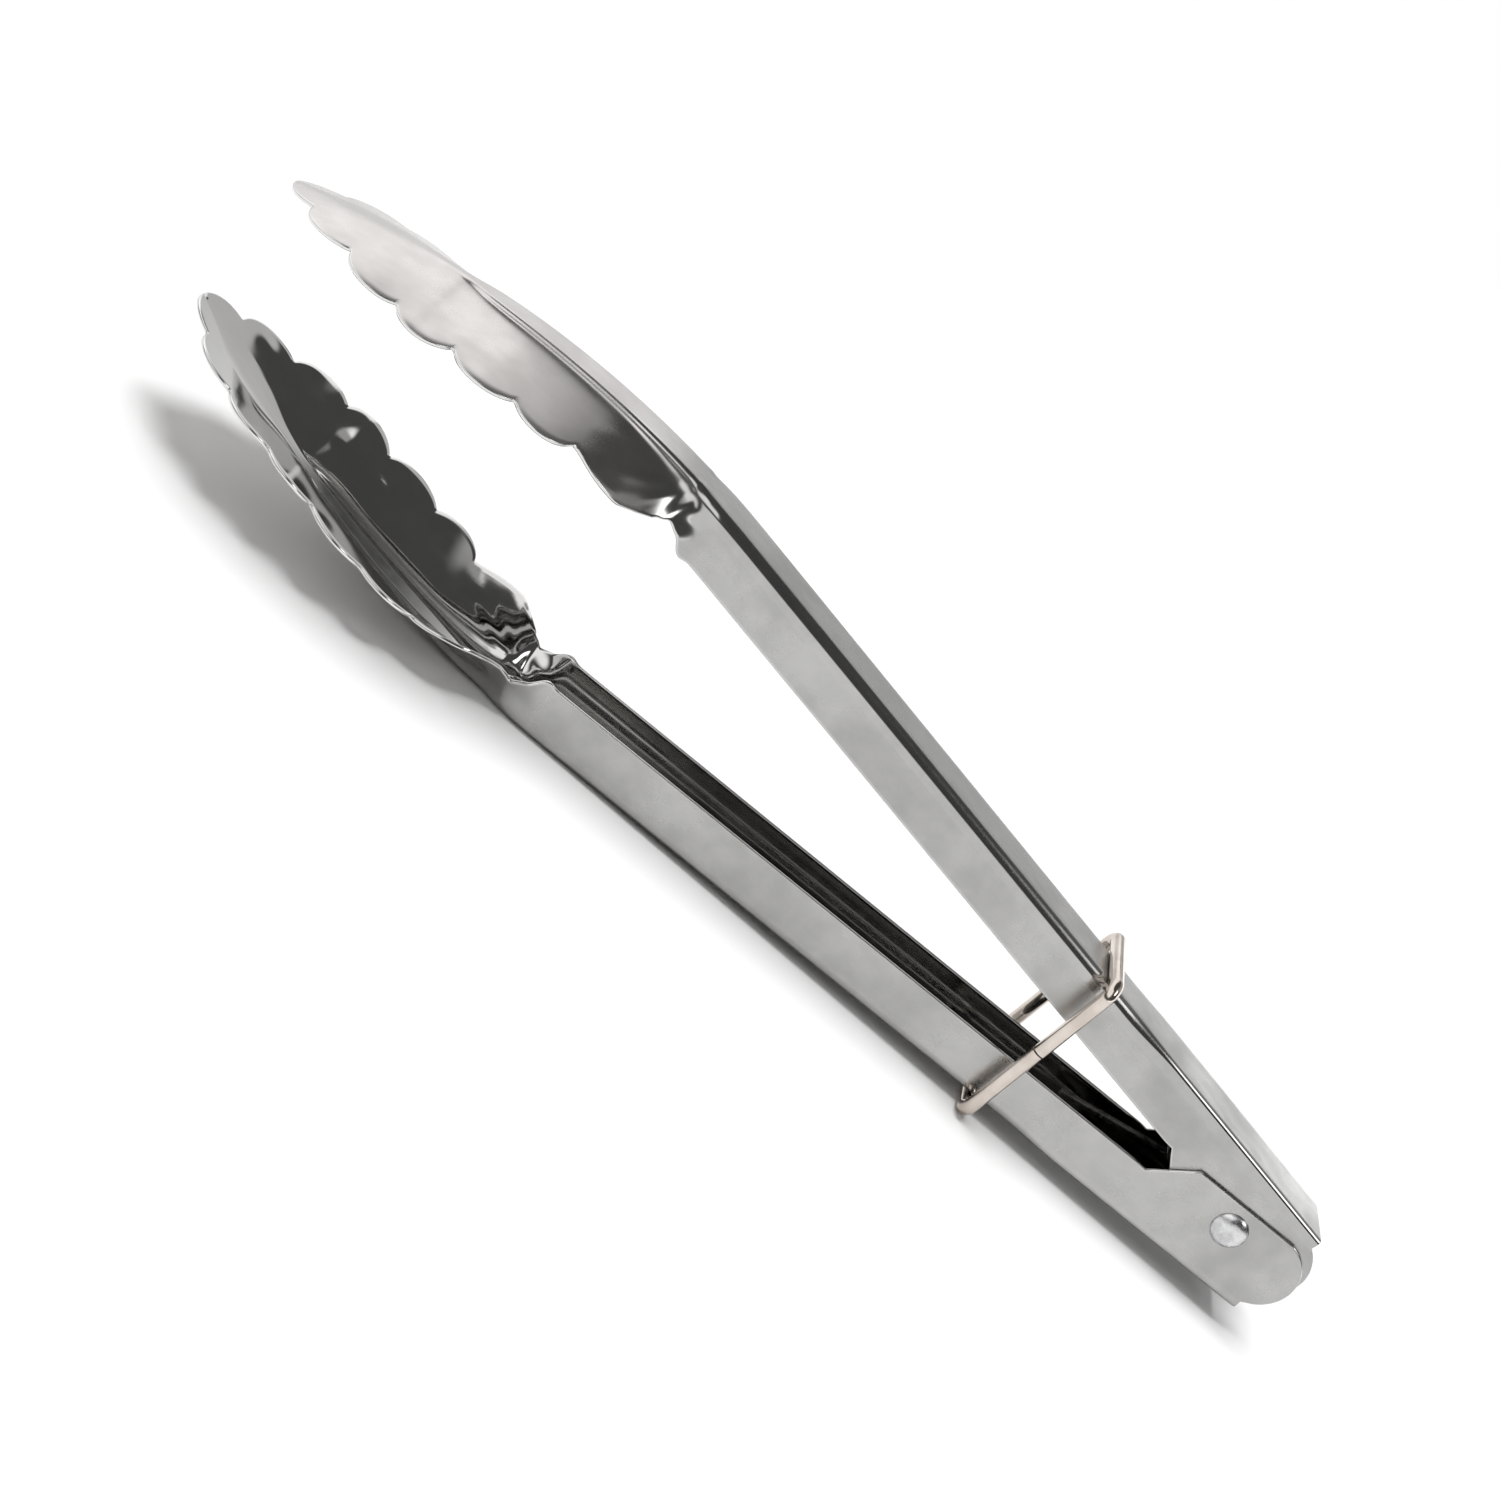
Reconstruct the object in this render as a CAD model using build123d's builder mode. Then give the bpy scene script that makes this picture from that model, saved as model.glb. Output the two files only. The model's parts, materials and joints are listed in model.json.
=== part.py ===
# Spring loaded kitchen tongs, 12 inch class, with a sliding wire lock ring.
# They lie on the lower arm: tips towards -X, rivet axis along Y, floor at Z = 0.
import os
from math import asin, atan2, ceil, cos, degrees, hypot, radians, sin, sqrt, tan

from build123d import *

# Sheet and channel sections
sheet = 0.8
lower_width = 18.0
ear_clearance = 0.15
upper_width = lower_width - 2 * (sheet + ear_clearance)
cheek_depth = 12.4
cheek_root = 2.0
crisp_bend = 1.2
soft_bend = 2.4

# Lengths along an arm, measured from the rivet towards the tip
spine_end = -13.6
crisp_until = 36.0
soft_from = 52.0
bend_start = 176.0
bend_radius = 240.0
neck_start = 181.0
rivet_to_spine = 13.7

# Pivot ears
ear_depth = 20.0
ear_foot = 2.2
ear_ramp_foot = 22.0
ear_ramp_top = 13.3
ear_round_at = -10.7
ear_round_radius = 8.8

# Rivet
shaft_diameter = 4.0
hole_clearance = 0.05
head_diameter = 8.2
head_height = 1.5
tail_diameter = 7.4
tail_height = 1.2
rivet_rim = 0.35
rivet_flat = 0.55

# Lock ring
wire = 3.2
ring_at = 58.0
ring_side_gap = 2.9
ring_spine_gap = 0.12
ring_inner_radius = 1.5
wire_sides = 10

# Torsion spring
spring_wire = 1.5
coil_radius = 5.0
coil_pitch = 2.3
full_turns = 2
leg_reach = 38.0
leg_gap = 0.15
spring_sides = 6

# Pose: opening between the handles, and the lean that rests the lower arm on its ring and its bend
opening = 11.7
lean = 1.585
pivot_x = 133.745
pivot_z = 18.657

# Scalloped outline in plan: notches from the neck to the tip, then the tip itself
notches = [
    (192.0, 12.6),
    (212.7, 21.4),
    (226.2, 24.0),
    (241.0, 22.9),
    (254.2, 22.2),
    (267.8, 16.8),
    (279.7, 8.7),
]
tip_reach = 287.0
lobe_bulge = 4.0
waste_margin = 20.0

# Blade sections from the neck on: place, half floor, bend radius, wall angle, wall, wing angle, wing
blade_sections = [
    (193.0, 4.7, 2.2, 70, 1.0, 45, 8.6),
    (204.0, 4.3, 2.2, 56, 1.0, 27, 18.0),
    (222.0, 3.4, 2.2, 46, 0.9, 19.4, 25.0),
    (243.0, 2.0, 2.8, 36, 0.7, 17.0, 26.5),
    (265.0, 0.6, 9.0, 13, 0.6, 13.8, 22.5),
    (290.0, 0.6, 30.0, 4, 0.6, 6.0, 13.0),
]
crease_share = 0.6

# Arm frames: x runs to the tip, y runs inwards to the other arm, z runs across the sheet
pivot = Vector(pivot_x, 0, pivot_z)


def arm_frame(angle, facing):
    along = Vector(-cos(radians(angle)), 0, sin(radians(angle)))
    return Plane(origin=pivot, x_dir=along, z_dir=(0, facing, 0))


lower_frame = arm_frame(-lean, 1)
upper_frame = arm_frame(opening - lean, -1)


def heading(angle):
    return Vector(cos(radians(angle)), sin(radians(angle)))


def section_plane(frame, s):
    # Plane across the arm at a place along it; past the bend it turns with the arc
    turn = asin(max(s - bend_start, 0) / bend_radius)
    rise = bend_radius * (1 - cos(turn))
    forward = frame.x_dir * cos(turn) + frame.y_dir * sin(turn)
    centre = frame.from_local_coords((s, rise - rivet_to_spine, 0))
    return Plane(origin=centre, x_dir=frame.z_dir, z_dir=-forward)


def sheet_section(plane, floor, bend, wall_angle, wall, wing_angle, wing):
    # Closed thin profile: flat floor, a bend up to a short wall, then a wing (or a cheek)
    wall_normal = heading(wall_angle + 90)
    wing_normal = heading(wing_angle + 90)
    mitre = (wall_normal + wing_normal) * (1 / (1 + wall_normal.dot(wing_normal)))
    bend_end = Vector(floor + bend * sin(radians(wall_angle)), bend * (1 - cos(radians(wall_angle))))
    crease = bend_end + heading(wall_angle) * wall
    rim = crease + heading(wing_angle) * wing
    inner_rim = rim + wing_normal * sheet
    with BuildSketch(plane) as section:
        with BuildLine():
            for side in (1, -1):
                for depth in (0, sheet):
                    corners = (
                        Vector(floor, depth),
                        bend_end + wall_normal * depth,
                        crease + mitre * depth,
                        rim + wing_normal * depth,
                    )
                    start, foot, knee, edge = [Vector(side * p.X, p.Y) for p in corners]
                    TangentArc(start, foot, tangent=(side, 0))
                    Bezier(foot, knee, knee + (edge - knee) * crease_share, edge)
                Line((side * rim.X, rim.Y), (side * inner_rim.X, inner_rim.Y))
            for depth in (0, sheet):
                Line((-floor, depth), (floor, depth))
        make_face()
    return section.sketch


def channel_section(frame, s, width, bend):
    # Upright cheeks on both sides of the spine
    cheek = cheek_depth - bend - cheek_root
    return sheet_section(section_plane(frame, s), width / 2 - bend, bend, 90, cheek_root, 90, cheek)


def scallop_waste(plan):
    # Everything outside the scalloped outline of the blade, in plan
    far = tip_reach + waste_margin
    wide = max(y for s, y in notches) + waste_margin
    with BuildSketch(plan) as waste:
        with BuildLine():
            for side in (1, -1):
                points = [Vector(s, side * y) for s, y in notches]
                for k in range(len(points) - 1):
                    a = points[k]
                    b = points[k + 1]
                    outward = (b - a).normalized().rotate(Axis.Z, side * 90)
                    ThreePointArc(a, (a + b) * 0.5 + outward * lobe_bulge, b)
                Polyline(points[0], (points[0].X, side * wide), (far, side * wide), (far, 0))
            s, y = notches[-1]
            ThreePointArc((s, y), (tip_reach, 0), (s, -y))
        make_face()
    return waste.sketch


def ear_outline(plane):
    # Straight top with a ramp down to the cheek, and a round end behind the rivet
    with BuildSketch(plane) as ear:
        with BuildLine():
            Polyline(
                (ear_round_at, ear_depth),
                (ear_ramp_top, ear_depth),
                (ear_ramp_foot, cheek_depth),
                (ear_ramp_foot, ear_foot),
                (ear_round_at, ear_foot),
            )
            round_end = (ear_round_at - ear_round_radius, (ear_depth + ear_foot) / 2)
            ThreePointArc((ear_round_at, ear_foot), round_end, (ear_round_at, ear_depth))
        make_face()
    return ear.sketch


def build_arm(frame, width, hole_diameter):
    foot = frame.from_local_coords((0, -rivet_to_spine, 0))
    side_plane = Plane(origin=foot, x_dir=frame.x_dir, z_dir=frame.z_dir)
    plan = Plane(origin=foot, x_dir=frame.x_dir, z_dir=frame.y_dir)
    with BuildPart() as arm:
        # Handle: crisp bends at the pivot, softer bends along the grip
        crisp = [channel_section(frame, s, width, crisp_bend) for s in (spine_end, crisp_until)]
        soft = [channel_section(frame, s, width, soft_bend) for s in (soft_from, bend_start, neck_start)]
        extrude(crisp[0], amount=spine_end - crisp_until)
        loft(sections=[crisp[1], soft[0]], ruled=True)
        extrude(soft[0], amount=soft_from - bend_start)
        loft(sections=[soft[1], soft[2]], ruled=True)
        # Neck and blade: the cheeks turn outwards into wings, the floor narrows to a rib that runs out
        blade = [sheet_section(section_plane(frame, s), *shape) for s, *shape in blade_sections]
        loft(sections=[soft[2], blade[0]])
        loft(sections=blade)
        extrude(scallop_waste(plan), amount=tip_reach, both=True, mode=Mode.SUBTRACT)
        # Pivot ears with the rivet hole
        for offset in (-width / 2, width / 2 - sheet):
            extrude(ear_outline(side_plane.offset(offset)), amount=sheet)
        with BuildSketch(frame):
            Circle(hole_diameter / 2)
        extrude(amount=width, both=True, mode=Mode.SUBTRACT)
    return arm.part


lower_arm = build_arm(lower_frame, lower_width, shaft_diameter)
upper_arm = build_arm(upper_frame, upper_width, shaft_diameter + 2 * hole_clearance)

# Rivet: low bevelled head on the near side, smaller upset tail on the far side
with BuildPart() as pivot_rivet:
    with BuildSketch(Plane(origin=pivot, x_dir=(1, 0, 0), z_dir=(0, 0, 1))):
        with BuildLine():
            face = lower_width / 2
            head = head_diameter / 2
            tail = tail_diameter / 2
            shaft = shaft_diameter / 2
            Polyline(
                (0, -face - head_height),
                (head * rivet_flat, -face - head_height),
                (head, -face - rivet_rim),
                (head, -face),
                (shaft, -face),
                (shaft, face),
                (tail, face),
                (tail, face + rivet_rim),
                (tail * rivet_flat, face + tail_height),
                (0, face + tail_height),
                close=True,
            )
        make_face()
    revolve(axis=Axis(pivot, (0, 1, 0)))

# Lock ring: one bent wire, square to the line midway between the arms
half_opening = radians(opening / 2)
ring_heading = radians(opening / 2 - lean)
spine_reach = rivet_to_spine / cos(half_opening) + ring_at * tan(half_opening)
ring_half_height = spine_reach + ring_spine_gap + wire / 2
ring_half_width = lower_width / 2 + ring_side_gap + wire / 2
ring_forward = Vector(-cos(ring_heading), 0, sin(ring_heading))
ring_plane = Plane(origin=pivot + ring_forward * ring_at, x_dir=(0, 1, 0), z_dir=-ring_forward)
with BuildSketch(ring_plane) as ring_loop:
    RectangleRounded(2 * ring_half_width, 2 * ring_half_height, ring_inner_radius + wire / 2)
ring_path = ring_loop.sketch.face().outer_wire()
with BuildPart() as lock_ring:
    with BuildSketch(Plane(origin=ring_path @ 0, z_dir=ring_path % 0)):
        RegularPolygon(wire / 2, wire_sides)
    sweep(path=ring_path)

# Spring: the wire comes in along the lower arm, winds round the rivet and leaves along the upper arm
leg_drop = rivet_to_spine - sheet - leg_gap - spring_wire / 2
leg_slope = degrees(atan2(leg_drop, leg_reach) - asin(coil_radius / hypot(leg_drop, leg_reach)))
leg_length = sqrt(leg_drop**2 + leg_reach**2 - coil_radius**2)
wind_from = leg_slope + lean
wind_to = 180 - leg_slope - (opening - lean) + 360 * full_turns
turns = (wind_to - wind_from) / 360
quarters = ceil(4 * turns)
coil_length = coil_pitch * turns


def coil_state(share):
    # Place and direction of the wire after a share of the winding; the lead eases in and out
    ease = 1 / quarters
    steady = 1 / (1 - ease)
    lead = steady * min(share / ease, 1, (1 - share) / ease)
    if share < ease:
        travel = steady * share**2 / (2 * ease)
    elif share > 1 - ease:
        travel = 1 - steady * (1 - share) ** 2 / (2 * ease)
    else:
        travel = steady * (share - ease / 2)
    turn = radians(wind_from + share * (wind_to - wind_from))
    round_rate = coil_radius * radians(wind_to - wind_from)
    place = pivot + Vector(coil_radius * sin(turn), coil_length * (travel - 0.5), -coil_radius * cos(turn))
    direction = Vector(round_rate * cos(turn), coil_length * lead, round_rate * sin(turn))
    return place, direction.normalized()


with BuildPart() as torsion_spring:
    with BuildLine() as spring_path:
        coil_start, way_in = coil_state(0)
        Line(coil_start - way_in * leg_length, coil_start)
        for k in range(quarters):
            # Two arcs that meet half way, tangent to the wire at both ends of the quarter
            a, start_way = coil_state(k / quarters)
            b, end_way = coil_state((k + 1) / quarters)
            chord = b - a
            closing = 2 * start_way.dot(end_way) - 2
            pull = chord.dot(start_way + end_way)
            reach = (pull - sqrt(pull**2 - closing * chord.dot(chord))) / closing
            middle_way = chord - (start_way + end_way) * reach
            middle = a + start_way * reach + middle_way * 0.5
            TangentArc(a, middle, tangent=start_way)
            TangentArc(middle, b, tangent=middle_way)
        coil_end, way_out = coil_state(1)
        Line(coil_end, coil_end + way_out * leg_length)
    with BuildSketch(Plane(origin=spring_path.line @ 0, z_dir=spring_path.line % 0)):
        RegularPolygon(spring_wire / 2, spring_sides)
    sweep(path=spring_path.line)

# Least gap between turns that lie half a turn or more apart
samples = 80 * quarters
half_turn = round(samples / turns / 2)
places = [coil_state(k / samples)[0] for k in range(samples + 1)]
spring_gap = min(
    (places[i] - places[j]).length - spring_wire
    for i in range(half_turn, samples + 1)
    for j in range(0, i - half_turn, 2)
)
print(f"spring: least gap between turns {spring_gap:.2f} mm")

# One file for each piece
os.makedirs("parts", exist_ok=True)
pieces = {
    "lower_arm": lower_arm,
    "upper_arm": upper_arm,
    "pivot_rivet": pivot_rivet.part,
    "lock_ring": lock_ring.part,
    "torsion_spring": torsion_spring.part,
}
for name, piece in pieces.items():
    piece.label = name
    export_step(piece, f"parts/{name}.step")
    low = piece.bounding_box().min
    high = piece.bounding_box().max
    print(f"{name}: {len(piece.solids())} solid, valid {piece.is_valid}, {piece.volume:.0f} mm3")
    print(f"  x {low.X:.2f} to {high.X:.2f}, y {low.Y:.2f} to {high.Y:.2f}, z {low.Z:.2f} to {high.Z:.2f}")
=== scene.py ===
import json
import math

import bpy
import numpy as np
from mathutils import Matrix, Vector, noise


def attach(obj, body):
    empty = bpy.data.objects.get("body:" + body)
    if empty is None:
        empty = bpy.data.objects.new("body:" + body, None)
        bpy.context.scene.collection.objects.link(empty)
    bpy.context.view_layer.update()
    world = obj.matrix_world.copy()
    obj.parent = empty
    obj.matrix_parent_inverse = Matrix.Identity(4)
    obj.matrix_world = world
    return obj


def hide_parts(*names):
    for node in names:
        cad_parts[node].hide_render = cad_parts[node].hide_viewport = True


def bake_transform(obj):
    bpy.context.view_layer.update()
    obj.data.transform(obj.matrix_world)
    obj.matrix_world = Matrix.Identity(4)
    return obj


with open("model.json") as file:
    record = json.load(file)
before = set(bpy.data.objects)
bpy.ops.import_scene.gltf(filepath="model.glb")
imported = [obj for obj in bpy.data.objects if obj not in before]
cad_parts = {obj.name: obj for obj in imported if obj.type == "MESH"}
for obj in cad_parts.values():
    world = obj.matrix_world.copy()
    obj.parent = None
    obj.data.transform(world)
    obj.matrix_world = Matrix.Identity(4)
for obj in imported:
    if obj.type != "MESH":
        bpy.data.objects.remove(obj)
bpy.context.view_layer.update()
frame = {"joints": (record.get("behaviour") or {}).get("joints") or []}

mm = 0.001
joints = {joint["name"]: joint for joint in frame["joints"]}
pivot = Vector(joints["arm_hinge"]["pos_m"])
slideAxis = Vector(joints["ring_slide"]["axis"])
lean = math.atan2(slideAxis.z, slideAxis.x)      # the lower arm dips towards its blade by this
print("frame: pivot", tuple(round(v, 4) for v in pivot), "lean", round(math.degrees(lean), 3))


# Small helpers

def newPiece(name, mesh, material, node, body=None):
    piece = bpy.data.objects.new(name, mesh)
    bpy.context.scene.collection.objects.link(piece)
    mesh.materials.clear()
    mesh.materials.append(material)
    if body:
        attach(piece, body)
    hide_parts(node)
    return piece


def smoothMesh(name, points, faces):
    mesh = bpy.data.meshes.new(name)
    mesh.from_pydata(points, [], faces)
    mesh.polygons.foreach_set("use_smooth", [True] * len(mesh.polygons))
    mesh.update()
    return mesh


def pointAttribute(mesh, name, values):
    attribute = mesh.attributes.new(name, "FLOAT", "POINT")
    attribute.data.foreach_set("value", np.asarray(values, np.float32))


def easeCurve(xs, ys, x):
    # smooth curve through given points that never overshoots them
    h = np.diff(xs)
    slope = np.diff(ys) / h
    tangent = np.concatenate([[slope[0]], np.zeros(len(xs) - 2), [slope[-1]]])
    for i in range(1, len(xs) - 1):
        if slope[i - 1] * slope[i] > 0:
            a = 2 * h[i] + h[i - 1]
            b = h[i] + 2 * h[i - 1]
            tangent[i] = (a + b) / (a / slope[i - 1] + b / slope[i])
    k = np.clip(np.searchsorted(xs, x) - 1, 0, len(xs) - 2)
    t = (x - xs[k]) / h[k]
    return ((1 + 2 * t) * (1 - t) ** 2 * ys[k] + t * (1 - t) ** 2 * h[k] * tangent[k]
            + t * t * (3 - 2 * t) * ys[k + 1] + t * t * (t - 1) * h[k] * tangent[k + 1])


def rampUp(x, low, high):
    t = np.clip((x - low) / (high - low), 0, 1)
    return t * t * (3 - 2 * t)


def addNode(tree, kind, inputs=None, **settings):
    # a node with its settings, and each input either joined to a socket or given a value
    item = tree.nodes.new(kind)
    for key, value in settings.items():
        setattr(item, key, value)
    for key, value in (inputs or {}).items():
        if isinstance(value, bpy.types.NodeSocket):
            tree.links.new(value, item.inputs[key])
        else:
            item.inputs[key].default_value = value
    return item


def addMath(tree, operation, a, b=0.0):
    return addNode(tree, "ShaderNodeMath", {0: a, 1: b}, operation=operation).outputs[0]


def addProduct(tree, first, *others):
    for factor in others:
        first = addMath(tree, "MULTIPLY", first, factor)
    return first


def addShares(tree, *parts):
    # sum of values, each given with its share
    terms = [addMath(tree, "MULTIPLY", value, share) for value, share in parts]
    total = terms[0]
    for term in terms[1:]:
        total = addMath(tree, "ADD", total, term)
    return total


def addBlend(tree, factor, a, b):
    item = addNode(tree, "ShaderNodeMix", {"Factor": factor, "A": a, "B": b}, data_type="FLOAT")
    return item.outputs["Result"]


def addTint(tree, factor, a, b):
    # colour mix; sockets 6 and 7 are the two colours of the Mix node
    colours = {k: c if isinstance(c, bpy.types.NodeSocket) else (*c, 1) for k, c in ((6, a), (7, b))}
    return addNode(tree, "ShaderNodeMix", {0: factor, **colours}, data_type="RGBA").outputs[2]


def addRange(tree, value, low, high, start=0.0, end=1.0):
    limits = {"Value": value, "From Min": low, "From Max": high, "To Min": start, "To Max": end}
    item = addNode(tree, "ShaderNodeMapRange", limits, interpolation_type="SMOOTHSTEP")
    return item.outputs["Result"]


def addFade(tree, value, low, high):
    return addRange(tree, value, low, high, 1.0, 0.0)


# Arms: stamped sheet, all sizes in millimetres along an arm from the rivet to the tip

arm = {
    "sheet": 0.8,
    "lowerWidth": 18.0,
    "upperWidth": 16.1,
    "cheekDepth": 12.4,
    "spineEnd": -13.6,
    "spineDrop": 13.7,                 # rivet to the outside of the spine
    "bendStart": 176.0,
    "bendRadius": 240.0,
    "opening": 11.7,                   # degrees between the handles
    "earTop": 20.0,
    "earRamp": (13.3, 22.0),
    "earRound": (-10.7, 11.1, 8.9),    # place, height, radius
    "earNotch": 2.7,                   # height where the round end meets the spine's end
    "notches": ((192.0, 12.6), (212.7, 21.4), (226.2, 24.0), (241.0, 22.9),
                (254.2, 22.2), (267.8, 16.8), (279.7, 8.7)),
    "tip": 287.0,
    "tipNarrow": 0.72,                 # last row against the one before it
    "lobeBulge": 4.0,
    "creaseShare": 0.05,
    "rimRound": 0.2,
    "ribFrom": (200, 206),             # where the rib's walls are scuffed
    "ribTo": (246, 252),
}
# lines along an arm and rows across it
armGrid = {
    "floorLines": 6,
    "bendLines": 8,
    "wingLines": 30,
    "rimLines": 4,
    "ribLines": (-4, 10),              # beside the end of the bend
    "endRows": 7,                      # round end of the ears
    "handleRows": ((-9.7, 13.3, 14), (15, 22, 6), (24, 52, 15), (56, 172, 40), (174, 191.6, 36)),
    "lobeRows": 22,
    "tipRowsLeft": 3,
    "tipInset": 0.5,
    "tipRows": 4,                      # these run together at the tip
    "rowLean": 1.5,
    "straightRow": 60,                 # a row in the plain part of the handle
    "probes": 300,
    "rimRounds": 6,
    "rowRounds": 5,
}
# place, inset from half the width, bend radius, wall angle, wall, wing angle, wing
channelSections = (
    (-20.0, 1.2, 1.2, 90, 2.0, 90, 9.2),
    (36.0, 1.2, 1.2, 90, 2.0, 90, 9.2),
    (52.0, 2.4, 2.4, 90, 2.0, 90, 8.0),
    (181.0, 2.4, 2.4, 90, 2.0, 90, 8.0),
    (183.5, 2.4, 2.4, 90, 2.0, 88, 8.5),
    (187.0, 2.7, 2.4, 84, 1.6, 74, 6.4),
    (190.0, 3.2, 2.3, 77, 1.3, 58, 6.2),
)
# place, half floor, bend radius, wall angle, wall, wing angle, wing
bladeSections = (
    (193.0, 5.2, 1.3, 80, 2.4, 45, 8.6),
    (204.0, 5.0, 1.1, 80, 1.75, 26, 18.0),
    (214.0, 4.8, 1.0, 80, 1.4, 18.2, 22.5),
    (226.0, 4.4, 1.0, 80, 1.15, 16.3, 25.0),
    (238.0, 3.7, 1.0, 79, 1.0, 15.2, 26.0),
    (245.0, 2.9, 1.0, 72, 0.9, 15.2, 26.0),
    (249.5, 1.5, 1.6, 46, 0.8, 15.6, 26.0),
    (253.0, 0.7, 5.0, 20, 0.6, 16.0, 25.4),
    (258.0, 0.6, 10.0, 14, 0.6, 15.6, 24.0),
    (266.0, 0.6, 26.0, 12, 0.6, 13.5, 22.0),
    (275.0, 0.6, 30.0, 8, 0.6, 9.5, 17.0),
    (281.0, 0.5, 16.0, 6, 0.5, 7.0, 14.0),
    (287.5, 0.25, 3.0, 4, 0.3, 6.0, 13.0),
)
# unevenness of the pressed sheet, outwards in millimetres
sheetWaves = {
    "from": (20, 40),                  # the pivot end stays flat
    "bladeFrom": (190, 205),
    "roll": 0.012,                     # slow unevenness along the handles
    "rollSize": (42, 16),
    "bladeRoll": 0.03,
    "bladeRollSize": (15, 11),
    "bladeRollSeed": 7,
    "lobeCup": 0.03,
    "fan": 0.06,                       # ripples that fan out from the neck into the first lobe
    "fanFrom": (193, 199),
    "fanTo": (209, 215),
    "fanCentre": (188, 5),
    "fanRipples": 21,
    "neckDent": 0.55,
    "neckDentAt": (186.6, 13.5),
    "neckDentSize": (2.6, 2.4),
    "neckFold": 0.14,
    "foldAt": (191.5, 6),
    "foldSlant": 0.35,
    "foldWidth": 0.9,
    "foldFrom": (3, 7),
}
# knocks in one arm only: place, across, length, width, depth
lowerDents = ((247.5, 15.5, 4.6, 4.2, 0.52), (238.6, 15.4, 2.8, 2.8, 0.42), (273.0, 12.5, 2.4, 2.6, 0.12),
              (187.4, 9.6, 1.5, 1.9, 0.34), (190.4, 12.0, 1.4, 2.2, -0.34), (194.0, 9.4, 1.7, 1.9, 0.26))
upperDents = ((199.0, 12.0, 2.6, 3.0, 0.12), (203.5, 17.0, 2.4, 3.0, -0.10))


def lineShares():
    # each line of the half section as shares of the floor, the bend and the wing
    floor = np.arange(armGrid["floorLines"] + 1) / armGrid["floorLines"]
    bend = np.arange(1, armGrid["bendLines"] + 1) / armGrid["bendLines"]
    wing = np.arange(1, armGrid["wingLines"] + 1) / armGrid["wingLines"]
    rows = [(f, 0, 0) for f in floor] + [(1, b, 0) for b in bend] + [(1, 1, w) for w in wing]
    return np.array(rows).T


def sectionPoints(table, s, onFloor, onBend, onWing):
    # outside of the sheet in the section at s, as across and height
    values = [easeCurve(table[:, 0], column, s) for column in table.T[1:]]
    floor, bend, wallAngle, wall, wingAngle, wing = values
    wallTurn = np.radians(wallAngle)
    wingTurn = np.radians(wingAngle)
    knee = np.stack([np.cos(wallTurn), np.sin(wallTurn)]) * wall
    edge = knee + np.stack([np.cos(wingTurn), np.sin(wingTurn)]) * wing
    pull = knee + (edge - knee) * arm["creaseShare"]
    t = onWing
    curve = 3 * knee * t * (1 - t) ** 2 + 3 * pull * t * t * (1 - t) + edge * t ** 3
    across = floor * onFloor + bend * np.sin(wallTurn * onBend) + curve[0]
    height = bend * (1 - np.cos(wallTurn * onBend)) + curve[1]
    return across, height


def bladeOutline():
    # rim points from the neck notch to the tip: place on the middle line, place on the rim, half width
    rim = []
    notches = [np.array(p) for p in arm["notches"]]
    bulge = arm["lobeBulge"]
    rows = armGrid["lobeRows"]
    for a, b in zip(notches, notches[1:]):
        chord = b - a
        half = np.hypot(*chord) / 2
        radius = (half ** 2 + bulge ** 2) / (2 * bulge)
        way = chord / (2 * half)
        out = np.array([-way[1], way[0]])
        centre = (a + b) / 2 + out * (bulge - radius)
        sweep = math.atan2(half, radius - bulge)
        for k in range(rows):
            turn = sweep * (2 * k / rows - 1)
            point = centre + (radius - arm["rimRound"]) * (way * math.sin(turn) + out * math.cos(turn))
            rim.append((a[0] + chord[0] * k / rows, *point))
    last = notches[-1]
    reach = arm["tip"] - last[0]
    radius = (last[1] ** 2 + reach ** 2) / (2 * reach)
    start = math.asin(last[1] / radius)
    centre = arm["tip"] - radius
    radius -= arm["rimRound"]
    for k in range(rows - armGrid["tipRowsLeft"]):
        turn = start * (1 - k / rows)
        middlePlace = last[0] + (reach - armGrid["tipInset"]) * k / rows
        rim.append((middlePlace, centre + radius * math.cos(turn), radius * math.sin(turn)))
    return rim, centre, radius


def turnAt(s):
    return np.arcsin(np.maximum(s - arm["bendStart"], 0) / arm["bendRadius"])


def armPlace(s, across, height):
    # arm coordinates (along, across, inwards) of a point in the section at s
    turn = turnAt(s)
    rise = arm["bendRadius"] * (1 - np.cos(turn)) - arm["spineDrop"]
    return np.stack([s - height * np.sin(turn), across, rise + height * np.cos(turn)], -1)


def cheekTop(s):
    return float(np.interp(s, arm["earRamp"], (arm["earTop"], arm["cheekDepth"])))


def earEnd(height):
    # where the pivot end of the sheet stops, at a height up the cheek
    place, middle, radius = arm["earRound"]
    if height < arm["earNotch"]:
        return arm["spineEnd"]
    return place - math.sqrt(max(radius ** 2 - (height - middle) ** 2, 0))


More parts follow.
